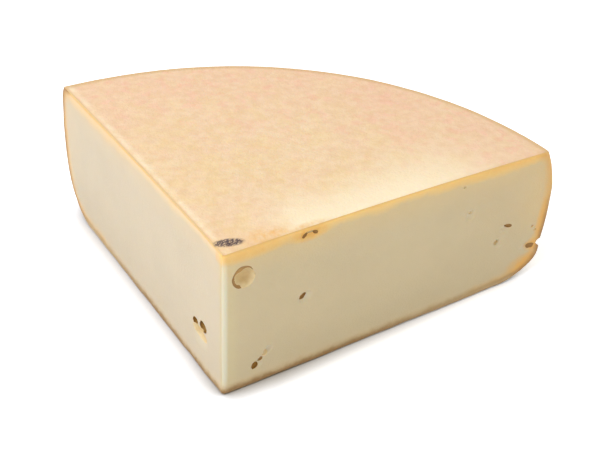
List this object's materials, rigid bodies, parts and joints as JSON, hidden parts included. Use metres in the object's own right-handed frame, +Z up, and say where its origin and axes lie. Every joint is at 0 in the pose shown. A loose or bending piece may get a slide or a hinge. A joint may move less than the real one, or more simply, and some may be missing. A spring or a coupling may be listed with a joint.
{
  "type": "cheese wheel quarter",
  "caption": "Quarter of a pressed semi-hard cheese wheel as cut, with a dry rind, a swelling heel, flat cut faces and small eyes, lying flat on its base.",
  "frame": {"origin": "on the base, in the middle of the slice's bounding box", "axes": "+Z up from the base, -Y towards the tip where the cuts meet, +Y towards the round heel, +X towards the right cut's outer end as seen from the tip"},
  "size_m": [0.219, 0.154, 0.0685],
  "materials": {
    "cheese": "matt, slightly waxy cut cheese paste under a dry tan rind"
  },
  "bodies": {
    "root": {"cheese_quarter": "cheese"}
  },
  "joints": []
}
